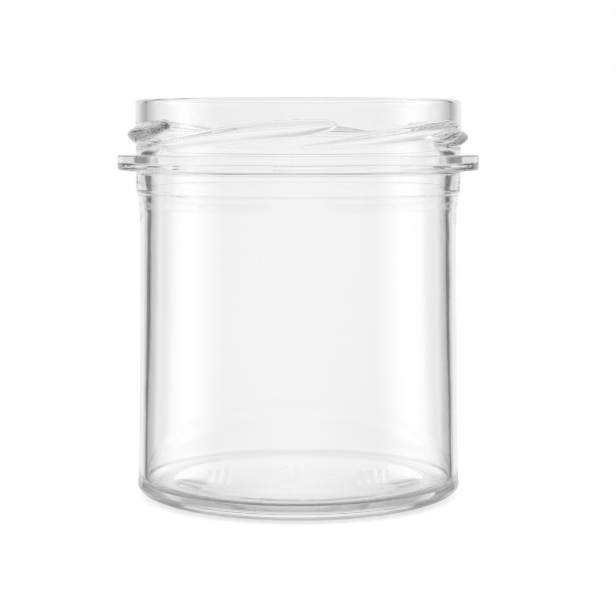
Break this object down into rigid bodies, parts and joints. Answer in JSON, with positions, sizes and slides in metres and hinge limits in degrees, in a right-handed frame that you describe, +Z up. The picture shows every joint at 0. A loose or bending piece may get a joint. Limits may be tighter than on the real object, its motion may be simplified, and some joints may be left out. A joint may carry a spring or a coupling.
{
  "type": "glass canning jar",
  "caption": "Clear glass canning jar with a twist-off lug finish, a transfer ring under it, a straight body and a push-up base, open at the top.",
  "frame": {"origin": "centre of the plane that the stand ring rests on", "axes": "+Z up along the jar's axis, towards the mouth; the heel's mould marks face -Y"},
  "size_m": [0.0872, 0.0872, 0.096],
  "materials": {
    "clear_glass": "clear, fire-polished"
  },
  "bodies": {
    "root": {"glass_jar": "clear_glass"}
  },
  "joints": []
}
